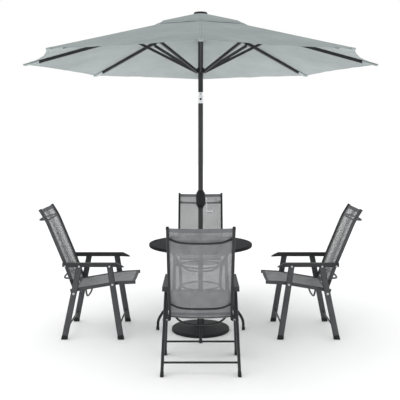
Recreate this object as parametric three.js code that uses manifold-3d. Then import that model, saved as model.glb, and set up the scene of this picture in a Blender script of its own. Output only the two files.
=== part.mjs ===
// Patio dining set: a round table with a tilting crank umbrella through its centre, and four folding
// sling armchairs facing it. Millimetres, +Z up, origin on the floor under the table's centre.
import * as THREE from 'three';
import { mergeVertices } from 'three/addons/utils/BufferGeometryUtils.js';
import Module from 'manifold-3d';

const wasm = await Module();
wasm.setup();

// ---- Driving sizes ----
const GAP = 0.3;              // kept between pieces that touch
const PLAY = 0.6;             // how much wider a pivot's hole is than its pin
const SPLAY = 2.5;            // degrees that the chair legs lean outwards, seen from the front
const ROD = 7;                // radius of the chairs' cross rods
const PIN = 4;                // radius of a chair's pivot pin

// Chair: side-view points are [out, up], out from the arm pivot of the rear legs, away from the table.
const CHAIR_OUT = 922;        // table centre to that pivot
const ARM_PIVOT_UP = 562;
const ARM_FRONT_PIVOT = -230; // front legs' pivot on the arm
const ARM_BACK_PIVOT = 108;   // back frame's pivot on the arm
const REAR_FOOT = 120;
const FRONT_FOOT = -313;
const SEAT_REAR_PIVOT_UP = 352;
const SEAT_FRONT_PIVOT_UP = 421;
const LEG_DEPTH = 46;
const LEG_WIDE = 20;
const RAIL_OUTER = 212.5;     // outer face of the seat and back rails, from the chair's middle plane
const RAIL_WIDE = 18.5;
const BACK_DEPTH = 25;
const SEAT_DEPTH = 25;
const BACK_RAIL = [
  [59.9, ARM_PIVOT_UP - 135], [ARM_BACK_PIVOT, ARM_PIVOT_UP + 1],
  [245, ARM_PIVOT_UP + 346], [295, ARM_PIVOT_UP + 428],
];
const BACK_BRACES = [           // [where it leaves the rails, the middle of its bow]
  [[250, ARM_PIVOT_UP + 354], [331, ARM_PIVOT_UP + 338]],
  [[72, ARM_PIVOT_UP - 100], [149, ARM_PIVOT_UP - 113]],
];
const BACK_SLING_TOP = [291.5, ARM_PIVOT_UP + 422];
const BACK_SAG = [9, -3];       // how far a sling's middle gives, out and up
const SEAT_RAIL = [[73, 367.5], [-275, 427], [-419.5, 434]];
const SEAT_BRACE = [[-40, 386], [-38, 292]];
const SEAT_SLING_RISE = 6;      // the seat's cloth lies this far above its rails' middle line
const SEAT_SAG = [0, -10];
const SLING_THICK = 2.4;
const REAR_BAR_UP = 84;
const FRONT_BAR_UP = 99;
const ARM_THICK = LEG_DEPTH / 2 + 8; // deep enough for the legs' round ends to turn inside
const ARM_REAR = 128;
const ARM_BEND = -277;
const ARM_TIP = [-341, ARM_PIVOT_UP - 9];
const ARM_SKIN = 3;           // the arm's top plate
const ARM_WALL = 2.8;
const ARM_SIDE_PLAY = 0.7;    // between the arm's inner wall and the back rail

// Table
const TABLE_RADIUS = 407;
const TABLE_TOP = 705;
const TABLE_THICK = 25;
const TABLE_LEG = 11;         // tube radius
const TABLE_FOOT = 344;       // foot's place, out from the centre
const RING_LOW = [150, 350];  // ring radius and height
const RING_HIGH = [160, 530];
const RING_ROD = 6;
const PAD_OUT = 262;          // pads under the top that the legs are fixed to
const PAD_RADIUS = 20;

// Umbrella
const BASE_RADIUS = 230;
const BASE_RIM = 24;
const BASE_DOME = 42;
const STEM_TOP = 330;
const STEM_WALL = 6.6;
const MAST = 19;              // outer radius of the pole
const TUBE_WALL = 1.8;
const MAST_PLAY = 0.4;
const HOUSING_LOW = 978;
const HOUSING_HIGH = 1129;
const HOUSING_WIDE = 73;
const HOUSING_DEEP = 62;
const CRANK_UP = 1051;
const CRANK_ARM = 97;
const KNUCKLE_LOW = 1800;
const TILT_UP = 1871;         // tilt hinge
const CANOPY_RADIUS = 1371.6; // rib tips, out from the centre
const CANOPY_TOP = 2470;
const CANOPY_EDGE = 2099;     // height of the rib tips
const CANOPY_THICK = 2.4;
const CANOPY_HOLE = 30;
const SCALLOP = 55;           // how far the hem curves in between two ribs
const HEM_SAG = 14;
const VENT_RADIUS = 410;
const VENT_LIFT = 18;         // how far the vent roof's edge stands off the canopy
const RIBS = 8;
const RIB_WIDE = 14;
const RIB_DEEP = 22;
const RIB_END = 1248;         // where the metal rib stops, out from the centre
const RIB_CLEAR = 1.6;        // canopy to rib
const STRUT_DEEP = 20;
const STRUT_AT = 517;         // strut's pivot, along the rib
const PIVOT_RING = 38;        // rib pivots on the hub and strut pivots on the runner, from the axis
const RUNNER_PIVOT_UP = 2042.2;
const RUNNER_PLAY = 2;
const EYE_PIN = 2.5;
const CHEEK = 2.4;            // thickness of the little lugs that hold ribs and struts
const FINIAL_RADIUS = 52.5;
const FINIAL_TOP = 2493;

const rad = THREE.MathUtils.degToRad;
const finish = (color, roughness, metalness) => new THREE.MeshStandardMaterial({ color, roughness, metalness });
const FINISH = {
  frame: finish(0x4a4c4e, 0.5, 0.4),
  arm: finish(0x3a3b3d, 0.6, 0),
  sling: finish(0x818385, 0.9, 0),
  table: finish(0x46484a, 0.5, 0.2),
  base: finish(0x37383a, 0.7, 0.1),
  mast: finish(0x2c2d30, 0.4, 0.5),
  silver: finish(0xd9dadc, 0.35, 0.8),
  plastic: finish(0x2a2b2d, 0.5, 0),
  canopy: finish(0x9fabab, 0.95, 0),
};

// ---- Solids: joining and cutting ----
function solid(geometry) {
  const bare = geometry.clone();
  for (const name of Object.keys(bare.attributes)) if (name !== 'position') bare.deleteAttribute(name);
  const merged = mergeVertices(bare, 1e-3);
  const index = merged.index.array;
  const kept = [];
  for (let i = 0; i < index.length; i += 3) {
    const [a, b, c] = [index[i], index[i + 1], index[i + 2]];
    if (a !== b && b !== c && c !== a) kept.push(a, b, c);
  }
  return new wasm.Manifold(new wasm.Mesh({
    numProp: 3,
    vertProperties: new Float32Array(merged.attributes.position.array),
    triVerts: new Uint32Array(kept),
  }));
}

const join = (...solids) => solids.reduce((whole, one) => whole.add(one));
const cut = (whole, ...tools) => tools.reduce((left, tool) => left.subtract(tool), whole);

function toGeometry(manifold) {
  const mesh = manifold.getMesh();
  const geometry = new THREE.BufferGeometry();
  const points = new Float32Array(mesh.numVert * 3);
  for (let i = 0; i < mesh.numVert; i += 1) {
    for (let k = 0; k < 3; k += 1) points[3 * i + k] = mesh.vertProperties[i * mesh.numProp + k];
  }
  geometry.setAttribute('position', new THREE.BufferAttribute(points, 3));
  geometry.setIndex(new THREE.BufferAttribute(new Uint32Array(mesh.triVerts), 1));
  geometry.computeVertexNormals();
  return geometry;
}

function piece(name, manifold, material) {
  const mesh = new THREE.Mesh(toGeometry(manifold), material);
  mesh.name = name;
  return mesh;
}

// ---- Shapes that several pieces use ----
const box = (wide, deep, high, x, y, z) => solid(new THREE.BoxGeometry(wide, deep, high).translate(x, y, z));

// A round bar along +Y, +X or +Z, from one end to the other.
function bar(axis, radius, from, to, across, sides = 8) {
  const geometry = new THREE.CylinderGeometry(radius, radius, to - from, sides);
  geometry.translate(0, (from + to) / 2, 0);
  if (axis === 'x') geometry.rotateZ(-Math.PI / 2);
  if (axis === 'z') geometry.rotateX(Math.PI / 2);
  return solid(geometry.translate(...across));
}

const turned = (profile, segments = 24) => solid(
  new THREE.LatheGeometry(profile.map(([r, z]) => new THREE.Vector2(r, z)), segments).rotateX(Math.PI / 2),
);

const ring = (inner, outer, low, high, segments = 24) => turned(
  [[inner, low], [outer, low], [outer, high], [inner, high], [inner, low]], segments,
);

// A round rod that follows a curve.
function rod(points, radius, steps, sides = 8) {
  const path = new THREE.CatmullRomCurve3(points.map((p) => new THREE.Vector3(...p)), false, 'centripetal');
  const section = new THREE.Shape();
  section.absarc(0, 0, radius, 0, 2 * Math.PI);
  return solid(new THREE.ExtrudeGeometry(section, { steps, curveSegments: sides / 2, extrudePath: path }));
}

// The outline of a strip that follows [out, up] points, with its corners eased and its ends round or square.
function strip(points, half, { ease = 30, roundEnd = false, roundStart = false } = {}) {
  const at = points.map(([x, y]) => new THREE.Vector2(x, y));
  const line = [at[0]];
  for (let i = 1; i < at.length - 1; i += 1) {
    const before = at[i].clone().addScaledVector(at[i].clone().sub(at[i - 1]).normalize(), -ease);
    const after = at[i].clone().addScaledVector(at[i + 1].clone().sub(at[i]).normalize(), ease);
    line.push(before, after);
  }
  line.push(at[at.length - 1]);
  const side = (sign) => line.map((p, i) => {
    const ahead = line[Math.min(i + 1, line.length - 1)];
    const behind = line[Math.max(i - 1, 0)];
    const along = ahead.clone().sub(behind).normalize();
    return p.clone().add(new THREE.Vector2(-along.y, along.x).multiplyScalar(sign * half));
  });
  const cap = (centre, from) => [1, 2].map((k) => {
    const arm = from.clone().sub(centre).rotateAround(new THREE.Vector2(), -k * Math.PI / 3);
    return centre.clone().add(arm);
  });
  const left = side(1);
  const right = side(-1).reverse();
  const outline = [...left];
  if (roundEnd) outline.push(...cap(line[line.length - 1], left[left.length - 1]));
  outline.push(...right);
  if (roundStart) outline.push(...cap(line[0], right[right.length - 1]));
  return new THREE.Shape(outline);
}

// A side-view outline made solid across the chair, centred on a distance from its middle plane.
function across(shape, wide, middle, soften) {
  const geometry = new THREE.ExtrudeGeometry(shape, {
    depth: wide - 2 * soften, bevelThickness: soften, bevelSize: soften, bevelOffset: -soften, bevelSegments: 1,
    bevelEnabled: soften > 0, curveSegments: 6,
  });
  geometry.rotateX(Math.PI / 2);
  return geometry.translate(0, middle + (wide - 2 * soften) / 2, 0);
}

const mirrored = (build) => [1, -1].map(build);

// ---- Chair ----
const A_REAR = [0, ARM_PIVOT_UP];
const A_FRONT = [ARM_FRONT_PIVOT, ARM_PIVOT_UP];
const along = ([u0, z0], u1, z) => u0 + (u1 - u0) * ((z0 - z) / z0);
const S_REAR = [along(A_REAR, REAR_FOOT, SEAT_REAR_PIVOT_UP), SEAT_REAR_PIVOT_UP];
const S_FRONT = [along(A_FRONT, FRONT_FOOT, SEAT_FRONT_PIVOT_UP), SEAT_FRONT_PIVOT_UP];
const ARM_INNER = RAIL_OUTER + ARM_SIDE_PLAY;
const LEG_MIDDLE = ARM_INNER + ARM_WALL + 1.8 + LEG_WIDE / 2;
const ARM_OUTER = LEG_MIDDLE + LEG_WIDE / 2 + 9.2;
const legMiddleAt = (z) => LEG_MIDDLE + (ARM_PIVOT_UP - z) * Math.tan(rad(SPLAY));
const hole = (radius, from, to, [u, z]) => bar('y', radius + PLAY, from, to, [u, 0, z]);

function leg(pivot, foot, side) {
  const reach = 30;
  const low = [along(pivot, foot, -reach), -reach];
  const tube = across(strip([low, pivot], LEG_DEPTH / 2, { roundEnd: true }), LEG_WIDE, 0, 6);
  tube.translate(0, 0, -ARM_PIVOT_UP).rotateX(side * rad(SPLAY)).translate(0, side * LEG_MIDDLE, ARM_PIVOT_UP);
  const floor = box(2000, 2000, 100, 0, 0, -50);
  return cut(solid(tube), floor);
}

function legPair(pivot, foot, barUp, extraHole) {
  const legs = mirrored((side) => {
    const inner = LEG_MIDDLE - LEG_WIDE;
    const outer = LEG_MIDDLE + 2 * LEG_WIDE;
    const span = side > 0 ? [inner, outer] : [-outer, -inner];
    const whole = cut(leg(pivot, foot, side), hole(PIN, ...span, pivot));
    return extraHole ? cut(whole, hole(PIN, ...span, extraHole)) : whole;
  });
  const half = legMiddleAt(barUp) - 2;
  const crossbar = bar('y', ROD, -half, half, [along(pivot, foot, barUp), 0, barUp], 8);
  return join(...legs, crossbar);
}

// A cross rod that bows away between two rails: it leaves them at `end` and passes through `apex`.
function bow(end, apex) {
  const half = RAIL_OUTER - RAIL_WIDE / 2;
  const lean = (share) => [end[0] + (apex[0] - end[0]) * share, end[1] + (apex[1] - end[1]) * share];
  const stations = [[half, 0.08], [half - RAIL_WIDE, 0.24], [0.8 * half, 0.62], [0.45 * half, 0.93], [0, 1]];
  const right = stations.map(([v, share]) => [lean(share)[0], v, lean(share)[1]]);
  const left = stations.slice(0, -1).reverse().map(([v, share]) => [lean(share)[0], -v, lean(share)[1]]);
  return rod([...right, ...left], ROD, 8, 6);
}

function backFrame() {
  const pivot = [ARM_BACK_PIVOT, BACK_RAIL[1][1]];
  const rails = mirrored((side) => {
    const rail = solid(across(strip(BACK_RAIL, BACK_DEPTH / 2), RAIL_WIDE, side * (RAIL_OUTER - RAIL_WIDE / 2), 0));
    const span = side > 0 ? [RAIL_OUTER - 19, RAIL_OUTER + 5] : [-RAIL_OUTER - 5, -RAIL_OUTER + 19];
    return cut(rail, hole(PIN, ...span, pivot));
  });
  return join(...rails, ...BACK_BRACES.map(([end, apex]) => bow(end, apex)));
}

function seatFrame() {
  const rails = mirrored((side) => {
    const middle = side * (RAIL_OUTER - RAIL_WIDE / 2);
    const rail = solid(across(strip(SEAT_RAIL, SEAT_DEPTH / 2), RAIL_WIDE, middle, 0));
    const lugTop = [S_REAR[0] - 3, S_REAR[1] + 20];
    const lug = solid(across(strip([lugTop, S_REAR], 12, { roundEnd: true }), 6, side * (RAIL_OUTER - 3), 0));
    const reach = legMiddleAt(S_REAR[1]) + LEG_WIDE / 2;
    const ends = side > 0 ? [RAIL_OUTER - 4, reach + 2] : [-reach - 2, -RAIL_OUTER + 4];
    const head = side > 0 ? [reach + 0.8, reach + 3] : [-reach - 3, -reach - 0.8];
    const pin = bar('y', PIN, ...ends, [S_REAR[0], 0, S_REAR[1]]);
    const cap = bar('y', 7, ...head, [S_REAR[0], 0, S_REAR[1]]);
    const stub = side > 0 ? [RAIL_OUTER - 4, RAIL_OUTER + 7] : [-RAIL_OUTER - 7, -RAIL_OUTER + 4];
    return join(rail, lug, pin, cap, bar('y', 7, ...stub, [S_FRONT[0], 0, S_FRONT[1]]));
  });
  return join(...rails, bow(...SEAT_BRACE));
}

// A sling between two rails: a strip made in slices across the chair, each moved along [out, up] to its sag.
function sling(line, [sagOut, sagUp]) {
  const half = RAIL_OUTER - RAIL_WIDE - GAP;
  const columns = 4;
  const outline = strip(line, SLING_THICK / 2).extractPoints(1).shape;
  if (THREE.ShapeUtils.isClockWise(outline)) outline.reverse();
  const faces = THREE.ShapeUtils.triangulateShape(outline, []);
  const points = [];
  const index = [];
  for (let k = 0; k <= columns; k += 1) {
    const v = half * (1 - (2 * k) / columns);
    const share = 1 - (v / half) ** 2;
    for (const p of outline) points.push(p.x + sagOut * share, v, p.y + sagUp * share);
  }
  const n = outline.length;
  for (let k = 0; k < columns; k += 1) {
    for (let i = 0; i < n; i += 1) {
      const a = k * n + i;
      const b = k * n + ((i + 1) % n);
      index.push(a, b, b + n, a, b + n, a + n);
    }
  }
  for (const [a, b, c] of faces) {
    index.push(c, b, a, a + columns * n, b + columns * n, c + columns * n);
  }
  const geometry = new THREE.BufferGeometry();
  geometry.setAttribute('position', new THREE.Float32BufferAttribute(points, 3));
  geometry.setIndex(index);
  return solid(geometry);
}

function arm(side) {
  const under = ARM_PIVOT_UP - 4;
  const top = under + ARM_THICK;
  const round = 4;               // how far the arm's corners are cut back
  const outline = new THREE.Shape([
    [ARM_REAR, under + round], [ARM_REAR, top - round], [ARM_REAR - round, top], [ARM_BEND, top],
    [ARM_TIP[0] + round, ARM_TIP[1] + 2 * round], ARM_TIP, [ARM_TIP[0] + 2 * round, ARM_TIP[1] - round],
    [ARM_BEND + round, under], [ARM_REAR - round, under],
  ].map(([u, z]) => new THREE.Vector2(u, z)).reverse());
  const middle = (ARM_INNER + ARM_OUTER) / 2;
  const body = solid(across(outline, ARM_OUTER - ARM_INNER, side * middle, 0));
  const inside = [ARM_INNER + ARM_WALL, ARM_OUTER - ARM_WALL];
  const ends = [ARM_BEND + 3 * round, ARM_REAR - round];
  const deep = 2 * ARM_THICK;    // open underneath
  const hollow = box(
    ends[1] - ends[0], inside[1] - inside[0], deep,
    (ends[0] + ends[1]) / 2, side * (inside[0] + inside[1]) / 2, top - ARM_SKIN - deep / 2,
  );
  const legPin = (u) => {
    const reach = [ARM_INNER + 1, ARM_OUTER + 1.6];
    return bar('y', PIN, ...(side > 0 ? reach : [-reach[1], -reach[0]]), [u, 0, ARM_PIVOT_UP]);
  };
  const backEnds = [RAIL_OUTER - 17, ARM_INNER + 2];
  const backPin = bar('y', PIN, ...(side > 0 ? backEnds : [-backEnds[1], -backEnds[0]]),
    [ARM_BACK_PIVOT, 0, BACK_RAIL[1][1]]);
  return join(cut(body, hollow), legPin(0), legPin(ARM_FRONT_PIVOT), backPin);
}

function chair(name, turn) {
  const group = new THREE.Group();
  const backSling = [...BACK_RAIL.slice(0, -1), BACK_SLING_TOP];
  const seatEnds = [-12, 0, 2];  // the cloth stops short of the rails' ends
  const seatSling = SEAT_RAIL.map(([u, z], k) => [u + seatEnds[k], z + SEAT_SLING_RISE]);
  group.add(
    piece(`${name}_rear_legs`, legPair(A_REAR, REAR_FOOT, REAR_BAR_UP, S_REAR), FINISH.frame),
    piece(`${name}_front_legs`, legPair(A_FRONT, FRONT_FOOT, FRONT_BAR_UP), FINISH.frame),
    piece(`${name}_back_frame`, backFrame(), FINISH.frame),
    piece(`${name}_back_sling`, sling(backSling, BACK_SAG), FINISH.sling),
    piece(`${name}_seat_frame`, seatFrame(), FINISH.frame),
    piece(`${name}_seat_sling`, sling(seatSling, SEAT_SAG), FINISH.sling),
    piece(`${name}_left_arm`, arm(1), FINISH.arm),
    piece(`${name}_right_arm`, arm(-1), FINISH.arm),
  );
  group.position.set(CHAIR_OUT * Math.cos(rad(turn)), CHAIR_OUT * Math.sin(rad(turn)), 0);
  group.rotation.z = rad(turn);
  return group;
}

// ---- Table ----
function tableTop() {
  const low = TABLE_TOP - TABLE_THICK;
  const hole = MAST + 3;
  return turned([
    [hole, low + 17], [TABLE_RADIUS - 22, low + 17], [TABLE_RADIUS - 22, low], [TABLE_RADIUS - 5, low],
    [TABLE_RADIUS, low + 6], [TABLE_RADIUS, TABLE_TOP - 5], [TABLE_RADIUS - 5, TABLE_TOP], [hole, TABLE_TOP],
    [hole, low + 17],
  ], 32);
}

function tableLegs() {
  const under = TABLE_TOP - TABLE_THICK + 17 - GAP;
  const shape = [
    [TABLE_FOOT, 0], [TABLE_FOOT - 3, 84], [TABLE_FOOT - 48, 154], [RING_LOW[0] + 30, 300],
    [RING_LOW[0] + 4, 365], [RING_HIGH[0], 450], [RING_HIGH[0] + 4, RING_HIGH[1]],
    [PAD_OUT - 22, under - 46], [PAD_OUT, under - 10],
  ];
  const loop = (radius, up) => solid(new THREE.TorusGeometry(radius, RING_ROD, 5, 20).translate(0, 0, up));
  const legs = [0, 90, 180, 270].map((turn) => {
    const facing = (r) => [r * Math.cos(rad(turn)), r * Math.sin(rad(turn))];
    const tube = rod(shape.map(([r, z]) => [...facing(r), z]), TABLE_LEG, 12, 6);
    const pad = bar('z', PAD_RADIUS, under - 12, under, [...facing(PAD_OUT), 0]);
    return join(tube, pad);
  });
  const inner = RING_LOW[0] - 3;
  return join(...legs, loop(inner, RING_LOW[1] + 10), loop(RING_HIGH[0] - 6, RING_HIGH[1]));
}

// ---- Umbrella base and mast ----
function umbrellaBase() {
  const bore = MAST + MAST_PLAY;
  const stem = bore + STEM_WALL;
  const body = turned([
    [0, 0], [BASE_RADIUS - 4, 0], [BASE_RADIUS, 4], [BASE_RADIUS, BASE_RIM - 5], [BASE_RADIUS - 6, BASE_RIM],
    [BASE_RADIUS * 0.6, BASE_RIM + 0.55 * (BASE_DOME - BASE_RIM)],
    [stem + 14, BASE_DOME], [stem, BASE_DOME + 10],
    [stem, STEM_TOP], [bore, STEM_TOP], [bore, BASE_RIM], [0, BASE_RIM],
  ], 24);
  return cut(body, bar('y', 5 + PLAY, 0, stem + 10, [0, 0, STEM_TOP - 40]));
}

function baseKnob() {
  const stem = MAST + MAST_PLAY + STEM_WALL;
  const up = STEM_TOP - 40;
  const at = [0, 0, up];
  const screw = bar('y', 5, MAST + GAP, stem + 14, at);
  const collar = bar('y', 9, stem + GAP, stem + 12, at);
  const lobes = [45, 135, 225, 315].map((turn) => bar(
    'y', 9, stem + 10, stem + 26, [14 * Math.cos(rad(turn)), 0, up + 14 * Math.sin(rad(turn))],
  ));
  return join(screw, collar, bar('y', 15, stem + 10, stem + 26, at), ...lobes);
}

const lowerMast = () => ring(MAST - TUBE_WALL, MAST, BASE_RIM + GAP, KNUCKLE_LOW - GAP);

function crankHousing() {
  const half = HOUSING_WIDE / 2;
  const capsule = new THREE.CapsuleGeometry(half, HOUSING_HIGH - HOUSING_LOW - 2 * half, 3, 16);
  capsule.rotateX(Math.PI / 2).scale(1, HOUSING_DEEP / HOUSING_WIDE, 1);
  const body = solid(capsule.translate(0, 0, (HOUSING_LOW + HOUSING_HIGH) / 2));
  const boss = bar('x', 17, MAST + 6, half + 1, [0, 0, CRANK_UP]);
  const bore = bar('z', MAST + GAP, HOUSING_LOW - 10, HOUSING_HIGH + 10, [0, 0, 0], 24);
  const shaft = bar('x', 5 + PLAY, MAST - 2, half + 10, [0, 0, CRANK_UP]);
  return cut(join(body, boss), bore, shaft);
}

function crankHandle() {
  const face = HOUSING_WIDE / 2 + 1 + GAP;
  const shaft = bar('x', 5, MAST + 4, face + 3, [0, 0, CRANK_UP]);
  const hub = bar('x', 12, face, face + 13, [0, 0, CRANK_UP]);
  const lever = box(5, 11, CRANK_ARM, face + 10, 0, CRANK_UP - CRANK_ARM / 2);
  const knob = bar('x', 8, face + 8, face + 60, [0, 0, CRANK_UP - CRANK_ARM]);
  return join(shaft, hub, lever, knob);
}

function tiltKnuckle() {
  const shell = MAST + 1.2;
  const top = TILT_UP - 16;
  const body = turned([[0, KNUCKLE_LOW - 30], [MAST - TUBE_WALL - GAP, KNUCKLE_LOW - 30],
    [MAST - TUBE_WALL - GAP, KNUCKLE_LOW], [shell, KNUCKLE_LOW], [shell, top], [0, top]]);
  const round = cut(bar('y', 15.5, -shell, shell, [0, 0, TILT_UP], 16), box(40, 15, 40, 0, 0, TILT_UP));
  const post = cut(box(31, 2 * shell, 17, 0, 0, top + 8), box(40, 15, 60, 0, 0, top + 30));
  const inside = bar('z', shell, KNUCKLE_LOW, TILT_UP + 20, [0, 0, 0], 24);
  const cheeks = join(round, post).intersect(inside);
  return join(body, cheeks, bar('y', PIN, -10, 10, [0, 0, TILT_UP]));
}

function upperMast() {
  const shoulder = TILT_UP + 16;
  const tube = turned([
    [0, shoulder], [MAST, shoulder], [MAST, CANOPY_TOP - 29], [MAST - TUBE_WALL, CANOPY_TOP - 29],
    [MAST - TUBE_WALL, shoulder + 14], [0, shoulder + 14]]);
  const eye = bar('y', 14.5, -7, 7, [0, 0, TILT_UP], 16);
  const neck = box(24, 14, 20, 0, 0, TILT_UP + 10);
  return join(tube, cut(join(eye, neck), bar('y', PIN + PLAY, -10, 10, [0, 0, TILT_UP])));
}

// ---- Canopy frame: each rib is built pointing along +X and turned to its place ----
const SLOPE = Math.atan2(CANOPY_TOP - CANOPY_EDGE, CANOPY_RADIUS);
const RIB_DROP = (CANOPY_THICK + RIB_CLEAR + RIB_DEEP / 2) / Math.cos(SLOPE);
const canopyHeight = (r) => CANOPY_TOP - r * Math.tan(SLOPE);
const HUB_PIVOT = [PIVOT_RING, canopyHeight(PIVOT_RING) - RIB_DROP];
const onRib = (distance, below) => [
  HUB_PIVOT[0] + distance * Math.cos(SLOPE) - below * Math.sin(SLOPE),
  HUB_PIVOT[1] - distance * Math.sin(SLOPE) - below * Math.cos(SLOPE),
];
const STRUT_PIVOT = onRib(STRUT_AT, (RIB_DEEP + STRUT_DEEP) / 2 + 1);
const RUNNER_PIVOT = [PIVOT_RING, RUNNER_PIVOT_UP];

function plates(centre, radius, toward) {
  const offset = RIB_WIDE / 2 + GAP + CHEEK / 2;
  return mirrored((side) => {
    const shape = strip([toward, centre], radius, { roundEnd: true });
    return solid(across(shape, CHEEK, side * offset, 0));
  });
}

function rib() {
  const length = (RIB_END - PIVOT_RING) / Math.cos(SLOPE);
  const shape = strip([onRib(length, 0), HUB_PIVOT], RIB_DEEP / 2, { roundEnd: true });
  const eye = bar('y', EYE_PIN + PLAY, -RIB_WIDE, RIB_WIDE, [HUB_PIVOT[0], 0, HUB_PIVOT[1]], 8);
  const beam = cut(solid(across(shape, RIB_WIDE, 0, 0)), eye);
  const lugs = plates(STRUT_PIVOT, 6.5, onRib(STRUT_AT, 2));
  const half = RIB_WIDE / 2 + GAP + CHEEK;
  const pin = bar('y', EYE_PIN, -half, half, [STRUT_PIVOT[0], 0, STRUT_PIVOT[1]], 8);
  const saddle = solid(across(strip([onRib(STRUT_AT - 8, 2), onRib(STRUT_AT + 8, 2)], 5), 2 * half, 0, 0));
  return join(beam, saddle, ...lugs, pin);
}

function strut() {
  const ends = { roundStart: true, roundEnd: true };
  const shape = strip([RUNNER_PIVOT, STRUT_PIVOT], STRUT_DEEP / 2, ends);
  const eye = bar('y', EYE_PIN + PLAY, -RIB_WIDE, RIB_WIDE, [STRUT_PIVOT[0], 0, STRUT_PIVOT[1]], 8);
  return cut(solid(across(shape, RIB_WIDE, 0, 0)), eye);
}

const turnedAbout = (manifold, turn) => manifold.rotate([0, 0, turn]);
const ribTurns = Array.from({ length: RIBS }, (_, k) => (360 / RIBS) * k);

// A collar with a slot for each rib or strut, cut from `inner` outwards.
function slotted(collar, inner, outer, low, high) {
  const slots = ribTurns.map((turn) => turnedAbout(
    box(outer + 10 - inner, RIB_WIDE + 2 * GAP, high - low + 2, (outer + 10 + inner) / 2, 0, (low + high) / 2),
    turn,
  ));
  return cut(collar, ...slots);
}

function hub() {
  const low = HUB_PIVOT[1] - 8;
  const high = HUB_PIVOT[1] + 6;
  const outer = PIVOT_RING + 7;
  const inner = PIVOT_RING - RIB_DEEP / 2 - 1.5;
  const bore = MAST + GAP;
  const collar = slotted(ring(bore, outer, low, high), inner, outer, low, high);
  const pins = ribTurns.map((turn) => turnedAbout(
    bar('y', EYE_PIN, -RIB_WIDE / 2 - 2, RIB_WIDE / 2 + 2, [HUB_PIVOT[0], 0, HUB_PIVOT[1]], 6), turn,
  ));
  const neck = 16;
  const finial = turned([
    [0, CANOPY_TOP - 28], [inner - 2, CANOPY_TOP - 28], [inner - 2, CANOPY_TOP - 14], [neck, CANOPY_TOP - 12],
    [neck, CANOPY_TOP + 2], [FINIAL_RADIUS - 2, CANOPY_TOP + 2], [FINIAL_RADIUS, CANOPY_TOP + 5],
    [FINIAL_RADIUS, FINIAL_TOP - 8], [FINIAL_RADIUS - 6, FINIAL_TOP - 2], [0, FINIAL_TOP],
  ], 20);
  return join(collar, finial, ...pins);
}

function runner() {
  const [low, high] = [RUNNER_PIVOT_UP - 10, RUNNER_PIVOT_UP + 28];
  const inner = PIVOT_RING - STRUT_DEEP / 2 - 1.5;
  const outer = PIVOT_RING + 8.5;
  return slotted(ring(MAST + RUNNER_PLAY, outer, low, high), inner, outer, low, high);
}

// ---- Canopy: eight flat gores between the ribs, with scalloped hems, and a small vent roof over its middle
function cloth(inner, outer, lift, curve, sag, rows, columns) {
  const wedge = 2 * Math.PI / RIBS;
  const rim = [];
  for (let g = 0; g < RIBS; g += 1) {
    for (let c = 0; c < columns; c += 1) rim.push([g * wedge, (g + 1) * wedge, c / columns]);
  }
  const point = ([from, to, share], row, drop) => {
    const belly = 4 * share * (1 - share);
    const reach = inner + (outer - curve * belly - inner) * (row / rows);
    const x = reach * ((1 - share) * Math.cos(from) + share * Math.cos(to));
    const y = reach * ((1 - share) * Math.sin(from) + share * Math.sin(to));
    const out = row / rows;
    return [x, y, canopyHeight(reach) + lift * out - sag * belly * out * out - drop];
  };
  const points = [];
  for (const drop of [0, CANOPY_THICK]) {
    for (let row = 0; row <= rows; row += 1) for (const at of rim) points.push(...point(at, row, drop));
  }
  const n = rim.length;
  const under = (rows + 1) * n;
  const index = [];
  const quad = (a, b, c, d) => index.push(a, b, c, a, c, d);
  for (let i = 0; i < n; i += 1) {
    const j = (i + 1) % n;
    for (let row = 0; row < rows; row += 1) {
      quad(row * n + i, (row + 1) * n + i, (row + 1) * n + j, row * n + j);
      quad(under + row * n + j, under + (row + 1) * n + j, under + (row + 1) * n + i, under + row * n + i);
    }
    quad(rows * n + i, under + rows * n + i, under + rows * n + j, rows * n + j);
    quad(j, under + j, under + i, i);
  }
  const geometry = new THREE.BufferGeometry();
  geometry.setAttribute('position', new THREE.Float32BufferAttribute(points, 3));
  geometry.setIndex(index);
  return solid(geometry);
}

function canopy() {
  const roof = cloth(CANOPY_HOLE, CANOPY_RADIUS, 0, SCALLOP, HEM_SAG, 2, 4);
  const vent = cloth(CANOPY_HOLE, VENT_RADIUS, VENT_LIFT, 10, 0, 1, 2);
  return join(roof, vent.translate([0, 0, 1.5]));
}

// ---- The set ----
const group = new THREE.Group();
group.add(
  chair('left_chair', 180),
  chair('right_chair', 0),
  chair('near_chair', 270),
  chair('far_chair', 90),
  piece('table_top', tableTop(), FINISH.table),
  piece('table_legs', tableLegs(), FINISH.frame),
  piece('umbrella_base', umbrellaBase(), FINISH.base),
  piece('base_knob', baseKnob(), FINISH.plastic),
  piece('lower_mast', lowerMast(), FINISH.mast),
  piece('crank_housing', crankHousing(), FINISH.plastic),
  piece('crank_handle', crankHandle(), FINISH.silver),
  piece('tilt_knuckle', tiltKnuckle(), FINISH.silver),
  piece('upper_mast', upperMast(), FINISH.mast),
  piece('canopy_hub', hub(), FINISH.plastic),
  piece('runner', runner(), FINISH.plastic),
  piece('canopy', canopy(), FINISH.canopy),
);
ribTurns.forEach((turn, k) => {
  const bones = new THREE.Group();
  bones.add(piece(`rib_${k + 1}`, rib(), FINISH.mast), piece(`strut_${k + 1}`, strut(), FINISH.mast));
  bones.rotation.z = rad(turn);
  group.add(bones);
});

export default group;
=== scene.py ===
import bpy
import math
from mathutils import Matrix, Vector, noise


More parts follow.
